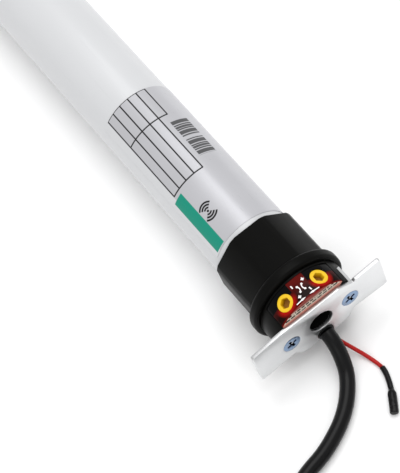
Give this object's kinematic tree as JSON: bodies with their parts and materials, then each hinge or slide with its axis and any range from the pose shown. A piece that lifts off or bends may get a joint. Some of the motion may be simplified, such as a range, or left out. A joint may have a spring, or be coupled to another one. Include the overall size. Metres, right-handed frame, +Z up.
{
  "type": "tubular roller blind motor",
  "caption": "Slim tubular blind motor with octagonal crown and drive wheel, sheet bracket, limit adjusters, planetary gear train, coiled mains lead and short aerial.",
  "frame": {"origin": "centre of the bracket's hole, on the bracket's front face", "axes": "+X along the motor, out of the bracket; +Y across the bracket; +Z up, on the adjusters' side"},
  "size_m": [0.6131, 0.1078, 0.043],
  "materials": {
    "zinc_sheet": "zinc plated",
    "zinc_screw": "blue zinc plated",
    "black_plastic": "satin",
    "red_window": "see-through red",
    "yellow_plastic": "moulded",
    "black_rubber": "matte",
    "white_tube": "satin",
    "label_film": "silver film",
    "grey_plastic": "moulded",
    "orange_plastic": "moulded",
    "bright_steel": "turned",
    "board": "lacquered",
    "relay_plastic": "moulded",
    "radio_can": "tinned",
    "capacitor_can": "drawn",
    "core_steel": "laminated",
    "copper": "enamelled wire",
    "bronze": "sintered",
    "friction": "bonded",
    "gear_steel": "sintered",
    "core_sheath": "coloured",
    "nylon": "moulded",
    "red_wire": "extruded"
  },
  "bodies": {
    "motor_body": {"mounting_bracket": "zinc_sheet", "bracket_screws": "zinc_screw", "head_body": "black_plastic", "adjuster_window": "red_window", "cable_gland": "black_rubber", "motor_tube": "white_tube", "rating_label": "label_film", "tube_screws": "zinc_screw", "limit_housing": "grey_plastic", "limit_end_plate": "grey_plastic", "guide_rod": "bright_steel", "switch_board": "board", "up_limit_switch": "black_plastic", "down_limit_switch": "black_plastic", "electronics_tray": "grey_plastic", "control_board": "board", "relays": "relay_plastic", "radio_module": "radio_can", "run_capacitor": "capacitor_can", "rear_end_shield": "core_steel", "motor_bushes": "bronze", "stator_core": "core_steel", "stator_windings": "copper", "front_end_shield": "core_steel", "brake_magnet": "core_steel", "brake_spring": "bright_steel", "ring_gear": "gear_steel", "gearbox_end_cap": "grey_plastic", "output_bush": "bronze", "mains_lead": "black_rubber", "mains_lead_coil": "black_rubber", "coil_tie": "nylon", "mains_cores": "core_sheath", "core_ferrules": "bright_steel", "aerial_lead": "red_wire", "aerial_sleeve": "black_rubber"},
    "crown": {"crown": "black_plastic"},
    "limit_spindle": {"limit_spindle": "gear_steel"},
    "limit_traveller": {"limit_traveller": "orange_plastic"},
    "up_adjuster": {"up_adjuster": "yellow_plastic"},
    "down_adjuster": {"down_adjuster": "yellow_plastic"},
    "brake_armature": {"brake_armature": "core_steel"},
    "rotor": {"rotor_core": "core_steel", "rotor_shaft": "bright_steel", "brake_disc": "friction", "input_sun_gear": "gear_steel"},
    "stage_1_carrier": {"stage_1_carrier": "gear_steel"},
    "stage_2_carrier": {"stage_2_carrier": "gear_steel"},
    "drive": {"output_shaft": "bright_steel", "drive_wheel": "black_plastic", "drive_wheel_clip": "bright_steel"},
    "stage_1_planet_a": {"stage_1_planet_a": "gear_steel"},
    "stage_1_planet_b": {"stage_1_planet_b": "gear_steel"},
    "stage_1_planet_c": {"stage_1_planet_c": "gear_steel"},
    "stage_2_planet_a": {"stage_2_planet_a": "gear_steel"},
    "stage_2_planet_b": {"stage_2_planet_b": "gear_steel"},
    "stage_2_planet_c": {"stage_2_planet_c": "gear_steel"},
    "stage_3_planet_a": {"stage_3_planet_a": "gear_steel"},
    "stage_3_planet_b": {"stage_3_planet_b": "gear_steel"},
    "stage_3_planet_c": {"stage_3_planet_c": "gear_steel"}
  },
  "joints": [
    {"name": "crown_spin", "type": "hinge", "parent": "motor_body", "child": "crown", "pos_m": [-0.03, 0, 0], "axis": [1, 0, 0], "range_deg": [-5422.5, 5422.5]},
    {"name": "limit_spindle_spin", "type": "hinge", "parent": "motor_body", "child": "limit_spindle", "pos_m": [-0.065, 0, -0.0096], "axis": [1, 0, 0], "range_deg": [-13600, 13600]},
    {"name": "limit_traveller_slide", "type": "slide", "parent": "motor_body", "child": "limit_traveller", "axis": [1, 0, 0], "range_m": [-0.0098, 0.0098]},
    {"name": "up_adjuster_turn", "type": "hinge", "parent": "motor_body", "child": "up_adjuster", "pos_m": [-0.00719, -0.00833, 0.01708], "axis": [0, -0.4384, 0.8988], "continuous": true},
    {"name": "down_adjuster_turn", "type": "hinge", "parent": "motor_body", "child": "down_adjuster", "pos_m": [-0.00719, 0.00833, 0.01708], "axis": [0, 0.4384, 0.8988], "continuous": true},
    {"name": "brake_release", "type": "slide", "parent": "motor_body", "child": "brake_armature", "axis": [1, 0, 0], "range_m": [0, 0.0006], "stiffness_N_per_m": 200, "deforming": ["brake_spring"]},
    {"name": "rotor_spin", "type": "hinge", "parent": "motor_body", "child": "rotor", "pos_m": [-0.274, 0, 0], "axis": [1, 0, 0], "continuous": true},
    {"name": "stage_1_carrier_spin", "type": "hinge", "parent": "motor_body", "child": "stage_1_carrier", "pos_m": [-0.3442, 0, 0], "axis": [1, 0, 0], "continuous": true},
    {"name": "stage_1_planet_a_spin", "type": "hinge", "parent": "stage_1_carrier", "child": "stage_1_planet_a", "pos_m": [-0.3377, 0.0081, 0], "axis": [1, 0, 0], "continuous": true},
    {"name": "stage_1_planet_b_spin", "type": "hinge", "parent": "stage_1_carrier", "child": "stage_1_planet_b", "pos_m": [-0.3377, -0.00405, 0.00701], "axis": [1, 0, 0], "continuous": true},
    {"name": "stage_1_planet_c_spin", "type": "hinge", "parent": "stage_1_carrier", "child": "stage_1_planet_c", "pos_m": [-0.3377, -0.00405, -0.00701], "axis": [1, 0, 0], "continuous": true},
    {"name": "stage_2_carrier_spin", "type": "hinge", "parent": "motor_body", "child": "stage_2_carrier", "pos_m": [-0.3632, 0, 0], "axis": [1, 0, 0], "continuous": true},
    {"name": "stage_2_planet_a_spin", "type": "hinge", "parent": "stage_2_carrier", "child": "stage_2_planet_a", "pos_m": [-0.3567, 0.0081, 0], "axis": [1, 0, 0], "continuous": true},
    {"name": "stage_2_planet_b_spin", "type": "hinge", "parent": "stage_2_carrier", "child": "stage_2_planet_b", "pos_m": [-0.3567, -0.00405, 0.00701], "axis": [1, 0, 0], "continuous": true},
    {"name": "stage_2_planet_c_spin", "type": "hinge", "parent": "stage_2_carrier", "child": "stage_2_planet_c", "pos_m": [-0.3567, -0.00405, -0.00701], "axis": [1, 0, 0], "continuous": true},
    {"name": "drive_spin", "type": "hinge", "parent": "motor_body", "child": "drive", "pos_m": [-0.3822, 0, 0], "axis": [1, 0, 0], "continuous": true},
    {"name": "stage_3_planet_a_spin", "type": "hinge", "parent": "drive", "child": "stage_3_planet_a", "pos_m": [-0.3757, 0.0081, 0], "axis": [1, 0, 0], "continuous": true},
    {"name": "stage_3_planet_b_spin", "type": "hinge", "parent": "drive", "child": "stage_3_planet_b", "pos_m": [-0.3757, -0.00405, 0.00701], "axis": [1, 0, 0], "continuous": true},
    {"name": "stage_3_planet_c_spin", "type": "hinge", "parent": "drive", "child": "stage_3_planet_c", "pos_m": [-0.3757, -0.00405, -0.00701], "axis": [1, 0, 0], "continuous": true}
  ],
  "couplings": [
    {"joint": "limit_spindle_spin", "follows": "crown_spin", "ratio": 2.5},
    {"joint": "limit_traveller_slide", "follows": "crown_spin", "m_per_rad": 0.000099472},
    {"joint": "stage_1_carrier_spin", "follows": "rotor_spin", "ratio": 0.22222},
    {"joint": "stage_1_planet_a_spin", "follows": "rotor_spin", "ratio": -0.62222},
    {"joint": "stage_1_planet_b_spin", "follows": "rotor_spin", "ratio": -0.62222},
    {"joint": "stage_1_planet_c_spin", "follows": "rotor_spin", "ratio": -0.62222},
    {"joint": "stage_2_carrier_spin", "follows": "rotor_spin", "ratio": 0.049383},
    {"joint": "stage_2_planet_a_spin", "follows": "rotor_spin", "ratio": -0.13827},
    {"joint": "stage_2_planet_b_spin", "follows": "rotor_spin", "ratio": -0.13827},
    {"joint": "stage_2_planet_c_spin", "follows": "rotor_spin", "ratio": -0.13827},
    {"joint": "drive_spin", "follows": "rotor_spin", "ratio": 0.010974},
    {"joint": "stage_3_planet_a_spin", "follows": "rotor_spin", "ratio": -0.030727},
    {"joint": "stage_3_planet_b_spin", "follows": "rotor_spin", "ratio": -0.030727},
    {"joint": "stage_3_planet_c_spin", "follows": "rotor_spin", "ratio": -0.030727}
  ]
}
